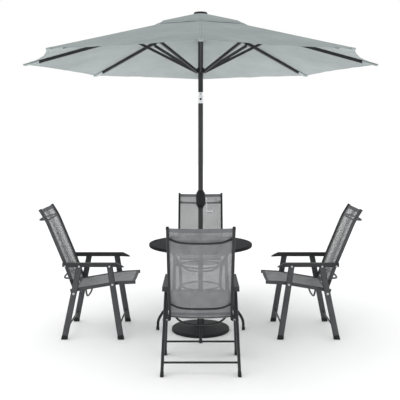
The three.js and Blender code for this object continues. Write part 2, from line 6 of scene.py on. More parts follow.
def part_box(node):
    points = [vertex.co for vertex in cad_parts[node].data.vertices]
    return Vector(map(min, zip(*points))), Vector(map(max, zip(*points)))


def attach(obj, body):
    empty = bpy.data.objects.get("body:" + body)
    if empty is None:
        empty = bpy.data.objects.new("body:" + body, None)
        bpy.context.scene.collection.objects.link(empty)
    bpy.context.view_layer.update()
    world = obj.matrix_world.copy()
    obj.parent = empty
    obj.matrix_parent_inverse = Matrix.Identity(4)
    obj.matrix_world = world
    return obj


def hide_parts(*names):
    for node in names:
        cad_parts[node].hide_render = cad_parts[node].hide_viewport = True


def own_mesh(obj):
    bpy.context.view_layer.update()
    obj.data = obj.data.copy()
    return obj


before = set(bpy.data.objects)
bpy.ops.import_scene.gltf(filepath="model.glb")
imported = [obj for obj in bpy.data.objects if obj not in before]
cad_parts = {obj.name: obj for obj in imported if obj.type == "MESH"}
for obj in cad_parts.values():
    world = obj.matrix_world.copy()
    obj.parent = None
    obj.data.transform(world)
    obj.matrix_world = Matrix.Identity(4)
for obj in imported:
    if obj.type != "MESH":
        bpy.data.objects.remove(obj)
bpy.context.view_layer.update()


MM = 0.001

# ---- Sizes that the frame doesn't name, in millimetres ----
# A chair's points are (out, up): out from the foot of its rear pivot, away from the table.
CHAIR_OUT = 922
PIVOT_UP = 562
FRONT_PIVOT = -230
BACK_PIVOT = (108, 563)
REAR_FOOT, FRONT_FOOT = 120, -313
SEAT_PIN = (44.8, 352)
FRONT_PIN_UP = 421
SPLAY = math.radians(2.5)
LEG_DEEP, LEG_WIDE, LEG_MIDDLE = 46, 20, 227.8
RAIL_WIDE, RAIL_DEEP, RAIL_MIDDLE = 18.5, 25, 203.25
BACK_LINE = [(59.9, 427), (108, 563), (245, 908), (295, 990)]
SEAT_LINE = [(73, 367.5), (-275, 427), (-419.5, 434)]
ARM_INNER, ARM_OUTER = 213.2, 247
ARM_UNDER, ARM_TOP = 558, 589
ARM_REAR, ARM_BEND = 128, -277
# the arm's front, as (out, top, underside, share of the width)
ARM_TIP = [
    (-293, 582.5, 557, 0.97), (-312, 573, 555.5, 0.88), (-328, 564.5, 554.3, 0.72), (-338, 558.5, 553.6, 0.5)]
CHAIRS = {"left_chair": 180, "right_chair": 0, "near_chair": 270, "far_chair": 90}
RIBS = 8
WEDGE = 2 * math.pi / RIBS     # the angle between two ribs
HUB_PIN = (38, 2444.2)
RUNNER_PIN = (38, 2042.2)
ELBOW_PIN = (531.3, 2288)
TILT_UP = 1871
TABLE_PAD = 262
SLOT_WIDE = 14.8               # in the hub and the runner, for a rib or a strut


# ---- Making meshes by hand ----
def select_nothing():
    if bpy.context.object and bpy.context.object.mode != "OBJECT":
        bpy.ops.object.mode_set(mode="OBJECT")
    for other in list(bpy.context.selected_objects):
        other.select_set(False)


def take(o):
    select_nothing()
    o.select_set(True)
    bpy.context.view_layer.objects.active = o
    return o


def fresh(name):
    o = bpy.context.object
    o.name = o.data.name = name
    return o


def settle(o):
    take(o)
    bpy.ops.object.transform_apply(location=True, rotation=True, scale=True)
    return o


def edit(o):
    take(o)
    bpy.ops.object.mode_set(mode="EDIT")
    bpy.ops.mesh.select_mode(type="VERT")


def done(o):
    bpy.ops.mesh.select_all(action="SELECT")
    bpy.ops.mesh.remove_doubles(threshold=1e-6)
    bpy.ops.mesh.normals_make_consistent(inside=False)
    bpy.ops.object.mode_set(mode="OBJECT")
    return o


def pick(o, test):
    """Edit mode with only the faces selected whose centre and normal pass the test."""
    edit(o)
    bpy.ops.mesh.select_mode(type="FACE")
    bpy.ops.mesh.select_all(action="DESELECT")
    bpy.ops.object.mode_set(mode="OBJECT")
    for face in o.data.polygons:
        face.select = bool(test(face.center, face.normal))
    bpy.ops.object.mode_set(mode="EDIT")


def soften(o, width, segments=2, limit=40, smooth=35):
    take(o)
    rounding = o.modifiers.new("rounding", "BEVEL")
    rounding.width, rounding.segments = width * MM, segments
    rounding.limit_method, rounding.angle_limit = "ANGLE", math.radians(limit)
    bpy.ops.object.modifier_apply(modifier=rounding.name)
    bpy.ops.object.shade_smooth_by_angle(angle=math.radians(smooth))
    return o


def smooth(o, angle=35):
    take(o)
    bpy.ops.object.shade_smooth_by_angle(angle=math.radians(angle))
    return o


def place(o, matrix):
    o.data.transform(matrix)
    if matrix.determinant() < 0:
        o.data.flip_normals()
    o.data.update()
    return o


def shift(x, y, z):
    """A move in millimetres."""
    return Matrix.Translation((x * MM, y * MM, z * MM))


def spun(angle, axis="Z"):
    return Matrix.Rotation(angle, 4, axis)


def copy_of(o, name, matrix):
    twin = o.copy()
    twin.data = o.data.copy()
    twin.name = twin.data.name = name
    bpy.context.collection.objects.link(twin)
    return place(twin, matrix)


def block(name, wide, deep, high, at):
    select_nothing()
    bpy.ops.mesh.primitive_cube_add(size=1, location=[c * MM for c in at])
    o = fresh(name)
    o.scale = (wide * MM, deep * MM, high * MM)
    return settle(o)


def turned(name, stations, sides=64, hollow=False):
    """Turned on the Z axis from [radius, up] stations; a hollow one closes on its first station."""
    select_nothing()
    (r, z) = stations[0]
    bpy.ops.mesh.primitive_circle_add(
        vertices=sides, radius=r * MM, location=(0, 0, z * MM),
        fill_type="NOTHING" if hollow else "NGON")
    o = settle(fresh(name))
    edit(o)
    bpy.ops.mesh.select_all(action="SELECT")
    for (r0, z0), (r1, z1) in zip(stations, stations[1:]):
        bpy.ops.mesh.extrude_region_move(TRANSFORM_OT_translate={"value": (0, 0, (z1 - z0) * MM)})
        if r1 != r0:
            share = r1 / r0
            bpy.ops.transform.resize(value=(share, share, 1), center_override=(0, 0, z1 * MM))
    return smooth(done(o))


def heading(a, b):
    return math.atan2(b[0] - a[0], b[1] - a[1])


def swept(name, line, wide=0, deep=0, corner=0, radius=0, sides=16, middle=0):
    """A bar that follows (out, up) points. Its section is a soft rectangle, or round with a radius."""
    turns = [heading(a, b) for a, b in zip(line, line[1:])]
    faces = [turns[0]] + [(a + b) / 2 for a, b in zip(turns, turns[1:])] + [turns[-1]]
    start = (line[0][0] * MM, middle * MM, line[0][1] * MM)
    select_nothing()
    if radius:
        bpy.ops.mesh.primitive_circle_add(vertices=sides, radius=radius * MM, fill_type="NGON",
                                          location=start, rotation=(0, faces[0], 0))
        o = settle(fresh(name))
        edit(o)
        bpy.ops.mesh.select_all(action="SELECT")
    else:
        bpy.ops.mesh.primitive_plane_add(size=1, location=start, rotation=(0, faces[0], 0))
        o = fresh(name)
        o.scale = (deep * MM, wide * MM, 1)
        settle(o)
        edit(o)
        bpy.ops.mesh.select_all(action="SELECT")
        if corner:
            bpy.ops.mesh.bevel(offset=corner * MM, segments=3, affect="VERTICES")
    for k in range(1, len(line)):
        move = [(line[k][i] - line[k - 1][i]) * MM for i in (0, 1)]
        bpy.ops.mesh.extrude_region_move(TRANSFORM_OT_translate={"value": (move[0], 0, move[1])})
        turn = faces[k] - faces[k - 1]
        if abs(turn) > 1e-5:
            bpy.ops.transform.rotate(value=-turn, orient_axis="Y",
                                     center_override=(line[k][0] * MM, middle * MM, line[k][1] * MM))
    return smooth(done(o), 50)


def eased(line, reach=30, steps=5):
    """The same line with its corners turned in a smooth bend."""
    out = [line[0]]
    for before, corner, after in zip(line, line[1:], line[2:]):
        def toward(p):
            away = Vector((p[0] - corner[0], p[1] - corner[1]))
            short = min(reach, away.length * 0.45)
            away = away.normalized() * short
            return Vector(corner) + away
        a, b = toward(before), toward(after)
        for k in range(steps + 1):
            t = k / steps
            out.append(tuple((1 - t) ** 2 * a + 2 * t * (1 - t) * Vector(corner) + t * t * b))
    return out + [line[-1]]


def across_bar(name, radius, half, at, sides=20):
    select_nothing()
    bpy.ops.mesh.primitive_cylinder_add(
        vertices=sides, radius=radius * MM, depth=2 * half * MM,
        location=(at[0] * MM, 0, at[1] * MM), rotation=(math.pi / 2, 0, 0))
    return soften(settle(fresh(name)), 0.8)


def join(name, *parts):
    select_nothing()
    for part in parts:
        part.select_set(True)
    bpy.context.view_layer.objects.active = parts[0]
    bpy.ops.object.join()
    return fresh(name)


def minus(o, *tools):
    for tool in tools:
        take(o)
        bite = o.modifiers.new("bite", "BOOLEAN")
        bite.operation, bite.object, bite.solver = "DIFFERENCE", tool, "EXACT"
        bpy.ops.object.modifier_apply(modifier=bite.name)
    for tool in tools:
        bpy.data.objects.remove(tool)
    return o


# ---- Finishes ----
def shader(name):
    made = bpy.data.materials.new(name)
    made.use_nodes = True
    tree = made.node_tree
    surface = tree.nodes["Principled BSDF"]

    def node(kind, **values):
        n = tree.nodes.new(kind)
        for key, value in values.items():
            if key.startswith("in_"):
                n.inputs[int(key[3:]) if key[3:].isdigit() else key[3:]].default_value = value
            else:
                setattr(n, key, value)
        return n

    def link(a, b):
        tree.links.new(a, b)
    return made, surface, node, link


def linear(value):
    c = value / 255
    return c / 12.92 if c <= 0.04045 else ((c + 0.055) / 1.055) ** 2.4


def tone(red, green, blue):
    return (linear(red), linear(green), linear(blue), 1)


def ramp(node, stops):
    r = node("ShaderNodeValToRGB")
    ends = r.color_ramp.elements
    while len(ends) < len(stops):
        ends.new(0.5)
    for element, (at, colour) in zip(ends, stops):
        element.position, element.color = at, colour
    return r


def hard_finish(name, low, high, rough, metal, grain, bump, fleck=900, coat=0.0, gloss=0.22):
    """Paint, moulded plastic or metal: cloudy colour, uneven roughness and a fine grain."""
    made, surface, node, link = shader(name)
    where = node("ShaderNodeTexCoord")
    cloud = node("ShaderNodeTexNoise", in_Scale=grain, in_Detail=5.0, in_Roughness=0.6)
    fine = node("ShaderNodeTexNoise", in_Scale=float(fleck), in_Detail=2.0)
    link(where.outputs["Object"], cloud.inputs["Vector"])
    link(where.outputs["Object"], fine.inputs["Vector"])
    colours = ramp(node, [(0.3, tone(*low)), (0.7, tone(*high))])
    link(cloud.outputs["Fac"], colours.inputs["Fac"])
    edges = node("ShaderNodeNewGeometry")
    worn = ramp(node, [(0.56, (0, 0, 0, 1)), (0.7, (0.3, 0.3, 0.3, 1))])
    link(edges.outputs["Pointiness"], worn.inputs["Fac"])
    lighter = node("ShaderNodeMix", data_type="RGBA", blend_type="SCREEN")
    lighter.inputs[0].default_value = 0.12
    link(colours.outputs["Color"], lighter.inputs[6])
    link(worn.outputs["Color"], lighter.inputs[7])
    link(lighter.outputs[2], surface.inputs["Base Color"])
    spread = node("ShaderNodeMapRange")
    spread.inputs["To Min"].default_value = rough - 0.08
    spread.inputs["To Max"].default_value = rough + 0.1
    link(cloud.outputs["Fac"], spread.inputs["Value"])
    link(spread.outputs["Result"], surface.inputs["Roughness"])
    emboss(node, link, surface, fine.outputs["Fac"], bump, 0.0004)
    surface.inputs["Metallic"].default_value = metal
    surface.inputs["Specular IOR Level"].default_value = 0.5 if metal > 0.5 else gloss
    surface.inputs["Coat Weight"].default_value = coat
    return made


def maths(node, link, operation, first, second=None, **numbers):
    """The result of a math node whose inputs are one or two sockets and, as in_1 and in_2, numbers."""
    step = node("ShaderNodeMath", operation=operation, **numbers)
    link(first, step.inputs[0])
    if second is not None:
        link(second, step.inputs[1])
    return step.outputs[0]


def sine_of(node, link, source, pitch):
    """|sin| of a coordinate in metres, once per pitch."""
    scaled = maths(node, link, "MULTIPLY", source, in_1=math.pi / pitch)
    return maths(node, link, "ABSOLUTE", maths(node, link, "SINE", scaled))


def near(node, link, source, value, half):
    """1 where a coordinate is within half of value."""
    return maths(node, link, "COMPARE", source, in_1=value, in_2=half)


def emboss(node, link, surface, height, strength, distance):
    relief = node("ShaderNodeBump", in_Strength=strength, in_Distance=distance)
    link(height, relief.inputs["Height"])
    link(relief.outputs["Normal"], surface.inputs["Normal"])


def sling_cloth(name, low, high, pitch, open_share):
    """Woven coated yarn that can be seen through between its threads."""
    made, surface, node, link = shader(name)
    where = node("ShaderNodeTexCoord")
    split = node("ShaderNodeSeparateXYZ")
    link(where.outputs["UV"], split.inputs[0])
    warp = sine_of(node, link, split.outputs["X"], pitch)
    weft = sine_of(node, link, split.outputs["Y"], pitch * 1.4)
    yarn = maths(node, link, "MAXIMUM", warp, weft)
    cloud = node("ShaderNodeTexNoise", in_Scale=14.0, in_Detail=4.0)
    link(where.outputs["UV"], cloud.inputs["Vector"])
    streak = node("ShaderNodeTexNoise", in_Scale=1.0, in_Detail=2.0)
    stretch = node("ShaderNodeMapping")
    stretch.inputs["Scale"].default_value = (600, 8, 1)
    link(where.outputs["UV"], stretch.inputs["Vector"])
    link(stretch.outputs[0], streak.inputs["Vector"])
    both = maths(node, link, "ADD", cloud.outputs["Fac"], streak.outputs["Fac"])
    colours = ramp(node, [(0.35, tone(*low)), (0.65, tone(*high))])
    link(maths(node, link, "MULTIPLY", both, in_1=0.5), colours.inputs["Fac"])
    link(colours.outputs["Color"], surface.inputs["Base Color"])
    if open_share:
        limit = math.sin(math.pi / 2 * math.sqrt(open_share))
        link(maths(node, link, "GREATER_THAN", yarn, in_1=limit), surface.inputs["Alpha"])
    emboss(node, link, surface, yarn, 0.6, 0.0005)
    surface.inputs["Roughness"].default_value = 0.8
    surface.inputs["Specular IOR Level"].default_value = 0.05
    return made


def canopy_cloth(name, low, high):
    """Plain-woven outdoor cloth; its UV map is metres from the rib's seam and metres from the hem."""
    made, surface, node, link = shader(name)
    where = node("ShaderNodeTexCoord")
    split = node("ShaderNodeSeparateXYZ")
    link(where.outputs["UV"], split.inputs[0])
    across, up = split.outputs["X"], split.outputs["Y"]
    cloud = node("ShaderNodeTexNoise", in_Scale=3.5, in_Detail=6.0, in_Roughness=0.62)
    link(where.outputs["Object"], cloud.inputs["Vector"])
    colours = ramp(node, [(0.3, tone(*low)), (0.7, tone(*high))])
    link(cloud.outputs["Fac"], colours.inputs["Fac"])
    stitch, thread, yarn = 0.0035, 0.0008, 0.0012
    stitch_run = sine_of(node, link, up, stitch)
    stitch_across = sine_of(node, link, across, stitch)
    seam = maths(node, link, "MULTIPLY", near(node, link, across, 0.006, thread), stitch_run)
    hem_rows = maths(node, link, "MAXIMUM", near(node, link, up, 0.004, thread),
                     near(node, link, up, 0.019, thread))
    hem = maths(node, link, "MULTIPLY", hem_rows, stitch_across)
    threads = node("ShaderNodeMix", data_type="RGBA")
    link(maths(node, link, "MAXIMUM", seam, hem), threads.inputs[0])
    link(colours.outputs["Color"], threads.inputs[6])
    threads.inputs[7].default_value = tone(*[c * 0.72 for c in low])
    link(threads.outputs[2], surface.inputs["Base Color"])
    weave = maths(node, link, "MAXIMUM", sine_of(node, link, across, yarn), sine_of(node, link, up, yarn))
    creases = node("ShaderNodeTexNoise", in_Scale=9.0, in_Detail=3.0)
    link(where.outputs["Object"], creases.inputs["Vector"])
    tall = maths(node, link, "MULTIPLY", creases.outputs["Fac"], in_1=6.0)
    emboss(node, link, surface, maths(node, link, "ADD", weave, tall), 0.35, 0.0012)
    surface.inputs["Roughness"].default_value = 0.9
    surface.inputs["Specular IOR Level"].default_value = 0.0
    return made


FRAME_PAINT = hard_finish("frame_paint", (30, 31, 33), (42, 43, 45), 0.45, 0.0, 9.0, 0.25, 1400, 0.05)
# Painted light: a lighter copy of the frame paint, put on the flat sides of the chairs' tubes where more
# light falls.
FRAME_PAINTED_LIGHT = hard_finish("frame_painted_light", (62, 63, 65), (76, 77, 79), 0.45, 0.0, 9.0, 0.25, 1400, 0.05)
ROD_PAINT = hard_finish("rod_paint", (34, 35, 36), (46, 47, 48), 0.45, 0.0, 12.0, 0.2, 1400, 0.05)
ARM_PLASTIC = hard_finish("arm_plastic", (42, 43, 45), (54, 55, 57), 0.5, 0.0, 14.0, 0.5, 1100)
BLACK_PLASTIC = hard_finish("black_plastic", (26, 27, 29), (36, 37, 39), 0.45, 0.0, 20.0, 0.4, 1000)
TABLE_PAINT = hard_finish("table_paint", (29, 30, 32), (40, 41, 43), 0.62, 0.0, 6.0, 0.4, 700, 0.0, 0.05)
BASE_PAINT = hard_finish("base_paint", (25, 26, 28), (35, 36, 38), 0.6, 0.05, 16.0, 0.8, 420)
MAST_PAINT = hard_finish("mast_paint", (38, 39, 41), (52, 53, 55), 0.45, 0.0, 8.0, 0.15, 1500, 0.05)
RIVET_STEEL = hard_finish("rivet_steel", (168, 170, 172), (204, 206, 208), 0.3, 0.85, 60.0, 0.2)
BRIGHT_SLEEVE = hard_finish("bright_sleeve", (218, 219, 221), (238, 239, 241), 0.32, 0.25, 20.0, 0.15)
CRANK_STEEL = hard_finish("crank_steel", (150, 152, 155), (188, 190, 193), 0.28, 0.8, 40.0, 0.2)
SLING = sling_cloth("sling_mesh", (116, 117, 118), (140, 141, 142), 0.0024, 0.3)
# Painted light: the seat's cloth is a lighter copy of the sling mesh, standing in for light falling from
# above on the level seat.
SEAT_SLING_PAINTED_LIGHT = sling_cloth("seat_mesh_painted_light", (144, 145, 146), (168, 169, 170), 0.0021, 0.1)
SLING_HEM = sling_cloth("sling_hem", (96, 97, 100), (116, 117, 120), 0.0016, 0)
CLOTH_OUT = canopy_cloth("canopy_cloth_outer", (139, 147, 146), (151, 159, 158))
# Painted light: the canopy cloth's underside is a slightly lighter copy of its outer side, standing in for
# daylight coming through the cloth.
CLOTH_IN_PAINTED_LIGHT = canopy_cloth("canopy_cloth_inner_painted_light", (144, 150, 150), (156, 162, 162))
POCKET_CLOTH = canopy_cloth("pocket_cloth", (150, 158, 158), (162, 170, 170))


def dress(o, *finishes):
    o.data.materials.clear()
    for one in finishes:
        o.data.materials.append(one)
    return o


def paint_light_on_flat_sides(o):
    """Painted light: the flat sides of a chair's tube get a lighter copy of its paint, as they catch more
    light than its narrow front and rear.
    """
    dress(o, FRAME_PAINT, FRAME_PAINTED_LIGHT)
    for face in o.data.polygons:
        face.material_index = 1 if abs(face.normal.y) > 0.7 else 0
    return o


def belongs(o, body, slot, *nodes):
    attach(o, body)
    if nodes:
        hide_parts(*nodes)
    return o


# ---- Chair parts, each made once about its own arm pivot ----
def lean(pivot_out, foot_out):
    return math.atan2(foot_out - pivot_out, PIVOT_UP)


def leg(name, pivot_out, foot_out, side):
    """A flat-oval tube with a round top, made upright below its pivot and then leaned and splayed."""
    tilt = lean(pivot_out, foot_out)
    length = math.hypot(foot_out - pivot_out, PIVOT_UP) / math.cos(SPLAY)
    select_nothing()
    bpy.ops.mesh.primitive_plane_add(size=1, location=(0, 0, -length * MM))
    tube = fresh(name)
    tube.scale = (LEG_DEEP * MM, LEG_WIDE * MM, 1)
    settle(tube)
    edit(tube)
    bpy.ops.mesh.select_all(action="SELECT")
    bpy.ops.mesh.bevel(offset=7.5 * MM, segments=4, affect="VERTICES")
    bpy.ops.mesh.extrude_region_move(TRANSFORM_OT_translate={"value": (0, 0, length * MM)})
    before, up = 1.0, 0.0
    for k in range(1, 7):
        angle = k * math.pi / 12.6
        share, rise = math.cos(angle), math.sin(angle) * (LEG_DEEP / 2 - 1)
        bpy.ops.mesh.extrude_region_move(TRANSFORM_OT_translate={"value": (0, 0, (rise - up) * MM)})
        bpy.ops.transform.resize(value=(share / before, 1, 1), center_override=(0, 0, rise * MM))
        before, up = share, rise
    done(tube)
    place(tube, shift(pivot_out, side * LEG_MIDDLE, PIVOT_UP) @ spun(side * SPLAY, "X") @ spun(-tilt, "Y"))
    edit(tube)
    bpy.ops.mesh.select_all(action="SELECT")
    bpy.ops.mesh.bisect(plane_co=(0, 0, 3 * MM), plane_no=(0, 0, 1), clear_inner=True, use_fill=True)
    return paint_light_on_flat_sides(smooth(done(tube), 50))


def boot(name, pivot_out, foot_out, side):
    """The plastic foot that a leg stands in: a cup with a thicker sole and a step under its rim."""
    tilt = lean(pivot_out, foot_out)
    length = math.hypot(foot_out - pivot_out, PIVOT_UP) / math.cos(SPLAY)
    select_nothing()
    bpy.ops.mesh.primitive_plane_add(size=1, location=(0, 0, (-length - 12) * MM))
    cup = fresh(name)
    cup.scale = ((LEG_DEEP + 3.4) * MM, (LEG_WIDE + 3.4) * MM, 1)
    settle(cup)
    edit(cup)
    bpy.ops.mesh.select_all(action="SELECT")
    bpy.ops.mesh.bevel(offset=9 * MM, segments=4, affect="VERTICES")
    for rise, share in ((33, 1.0), (2, 0.96), (9, 0.95), (1.5, 0.9)):
        bpy.ops.mesh.extrude_region_move(TRANSFORM_OT_translate={"value": (0, 0, rise * MM)})
        bpy.ops.transform.resize(value=(share, share, 1), center_override=(0, 0, 0))
    done(cup)
    place(cup, shift(pivot_out, side * LEG_MIDDLE, PIVOT_UP) @ spun(side * SPLAY, "X") @ spun(-tilt, "Y"))
    edit(cup)
    bpy.ops.mesh.select_all(action="SELECT")
    bpy.ops.mesh.bisect(plane_co=(0, 0, 0), plane_no=(0, 0, 1), clear_inner=True, use_fill=True)
    done(cup)
    soften(cup, 1.0, 2, 50)
    return dress(cup, BLACK_PLASTIC)


def rivet(name, at, side, radius=7):
    """A low round head with a driver recess and its washer, facing out from the chair's side."""
    profile = [(radius * 1.35, 0), (radius * 1.35, 0.9), (radius, 1.0), (radius, 1.8), (radius * 0.8, 2.7),
               (radius * 0.42, 3.1), (radius * 0.4, 1.9)]
    head = turned(name, profile, 24)
    out, v, up = at
    place(head, shift(out, side * v, up) @ spun(-side * math.pi / 2, "X"))
    return dress(head, RIVET_STEEL)


def on_leg(pivot_out, foot_out, up):
    return pivot_out + (foot_out - pivot_out) * (PIVOT_UP - up) / PIVOT_UP


def leg_outer(up):
    return LEG_MIDDLE + (PIVOT_UP - up) * math.tan(SPLAY) + LEG_WIDE / 2


def grooved_rail(name, line, side, reach):
    """A soft-cornered rail with a shallow channel pressed along both of its flat sides."""
    rail = swept(name, eased(line, reach), RAIL_WIDE, RAIL_DEEP, corner=4, middle=side * RAIL_MIDDLE)
    wide_face = (RAIL_WIDE / 2 - 1) * MM
    pick(rail, lambda c, n: abs(n.y) > 0.99 and abs(abs(c.y) - RAIL_MIDDLE * MM) > wide_face)
    bpy.ops.mesh.inset(thickness=3.2 * MM, depth=0, use_even_offset=True)
    bpy.ops.mesh.inset(thickness=0.8 * MM, depth=-0.9 * MM, use_even_offset=True)
    return paint_light_on_flat_sides(smooth(done(rail), 28))


def rail_plug(name, line, side):
    """The moulded cap in a rail's end, a little proud of it."""
    (end, before) = (Vector(line[0]), Vector(line[1]))
    way = (end - before).normalized()
    points = [tuple(end - way * 2), tuple(end + way * 3.2)]
    plug = swept(name, points, RAIL_WIDE + 1.4, RAIL_DEEP + 1.4, corner=5, middle=side * RAIL_MIDDLE)
    soften(plug, 1.6, 3, 50)
    return dress(plug, BLACK_PLASTIC)


def bowed_rod(name, end, apex):
    """A round rod between the two rails that bows away in its middle."""
    half = RAIL_MIDDLE - 2
    away = math.hypot(apex[0] - end[0], apex[1] - end[1])
    shares = [(-1, 0), (-0.9, 0.2), (-0.76, 0.6), (-0.6, 0.84), (-0.4, 0.95), (-0.2, 0.99), (0, 1)]
    line = [(v * half, away * s) for v, s in shares]
    line += [(-v, up) for v, up in reversed(line[:-1])]
    path = eased(line, 14, 2)
    # made with its bow along +Z and its length along X, then turned into place
    bar = swept(name, path, radius=7, sides=14)
    bow_way = Vector((apex[0] - end[0], 0, apex[1] - end[1])).normalized()
    lateral = Vector((0, 1, 0))
    third = bow_way.cross(lateral)
    turn = Matrix((
        (lateral.x, third.x, bow_way.x, end[0] * MM),
        (lateral.y, third.y, bow_way.y, 0),
        (lateral.z, third.z, bow_way.z, end[1] * MM),
        (0, 0, 0, 1)))
    place(bar, turn)
    edit(bar)
    done(bar)
    return dress(smooth(bar, 60), ROD_PAINT)


def arm_rest(name, side):
    """A hollow moulded arm: a long pad with soft edges whose front dips to a point."""
    middle = (ARM_INNER + ARM_OUTER) / 2
    wide, high = ARM_OUTER - ARM_INNER, ARM_TOP - ARM_UNDER
    centre = (ARM_TOP + ARM_UNDER) / 2
    stops = [ARM_REAR - 0.5, ARM_REAR - 4, 60, -10, -80, -150, -220, ARM_BEND + 12, ARM_BEND]
    line = [(u, centre) for u in stops]
    body = swept(name, line, wide, high, middle=side * middle)
    pick(body, lambda c, n: n.x < -0.9)
    was_out, was_top, was_under, was_share = ARM_BEND, ARM_TOP, ARM_UNDER, 1.0
    for out, top, under, share in ARM_TIP:
        tall = (top - under) / (was_top - was_under)
        up = (top + under) / 2
        bpy.ops.mesh.extrude_region_move(TRANSFORM_OT_translate={
            "value": ((out - was_out) * MM, 0, (up - (was_top + was_under) / 2) * MM)})
        bpy.ops.transform.resize(value=(1, share / was_share, tall),
                                 center_override=(out * MM, side * middle * MM, up * MM))
        was_out, was_top, was_under, was_share = out, top, under, share
    bpy.ops.object.mode_set(mode="OBJECT")
    pick(body, lambda c, n: n.z < -0.95 and ARM_BEND * MM < c.x < (ARM_REAR - 4) * MM)
    bpy.ops.mesh.inset(thickness=2.8 * MM, depth=0)
    bpy.ops.mesh.extrude_region_move(TRANSFORM_OT_translate={"value": (0, 0, (high - 4) * MM)})
    done(body)
    soften(body, 2.2, 3, 50, 40)
    return dress(body, ARM_PLASTIC)


def grid_cloth(name, columns, rows, point, thick, uv, finishes, thicken_up=0.0):
    """A cloth with its points from point(a, b) and its UV map in metres from uv(a, b), and its area."""
    select_nothing()
    bpy.ops.mesh.primitive_grid_add(x_subdivisions=columns, y_subdivisions=rows, size=2)
    o = fresh(name)
    layer = o.data.uv_layers.active or o.data.uv_layers.new(name="UVMap")
    shares = [((v.co.x + 1) / 2, (v.co.y + 1) / 2) for v in o.data.vertices]
    for loop in o.data.loops:
        layer.data[loop.index].uv = uv(*shares[loop.vertex_index])
    for v, share in zip(o.data.vertices, shares):
        v.co = point(*share)
    o.data.update()
    flat_area = sum(face.area for face in o.data.polygons)
    dress(o, *finishes)
    take(o)
    body = o.modifiers.new("thickness", "SOLIDIFY")
    body.thickness, body.offset = thick * MM, thicken_up
    body.use_even_offset = True
    if len(finishes) > 1:
        body.material_offset = 1
    bpy.ops.object.modifier_apply(modifier=body.name)
    bpy.ops.object.shade_smooth_by_angle(angle=math.radians(50))
    return o, flat_area


def sample(line, share):
    """The point that is a share of the way along a line."""
    lengths = [math.dist(a, b) for a, b in zip(line, line[1:])]
    left = share * sum(lengths)
    for (a, b), length in zip(zip(line, line[1:]), lengths):
        if left <= length + 1e-9:
            t = left / length
            return Vector((a[0] + (b[0] - a[0]) * t, a[1] + (b[1] - a[1]) * t))
        left -= length
    return Vector(line[-1])


def sling_cloth_piece(name, line, sag, finish, thick=1.5, rows=40, start=0.0, end=1.0):
    """Cloth between two rails from one share of their line to another, and its flat width and length."""
    half = RAIL_MIDDLE - RAIL_WIDE / 2 - 0.3
    columns = 12
    path = eased(line, 55, 8)
    length = sum(math.dist(a, b) for a, b in zip(path, path[1:]))

    def point(a, b):
        v = (2 * a - 1) * half
        at = sample(path, start + (end - start) * b)
        belly = 1 - (v / half) ** 2
        return ((at.x + sag[0] * belly) * MM, v * MM, (at.y + sag[1] * belly) * MM)

    def uv(a, b):
        return ((2 * a - 1) * half * MM, (start + (end - start) * b) * length * MM)
    o, _ = grid_cloth(name, columns, rows, point, thick, uv, [finish])
    return o, (2 * half * MM, (end - start) * length * MM)


# the back's cloth runs on below its rails, to just above the seat
BACK_CLOTH = [(45, 386)] + BACK_LINE[:-1] + [(293.8, 988)]
SEAT_CLOTH = [(61, 374.5), (-275, 433), (-417.5, 440)]


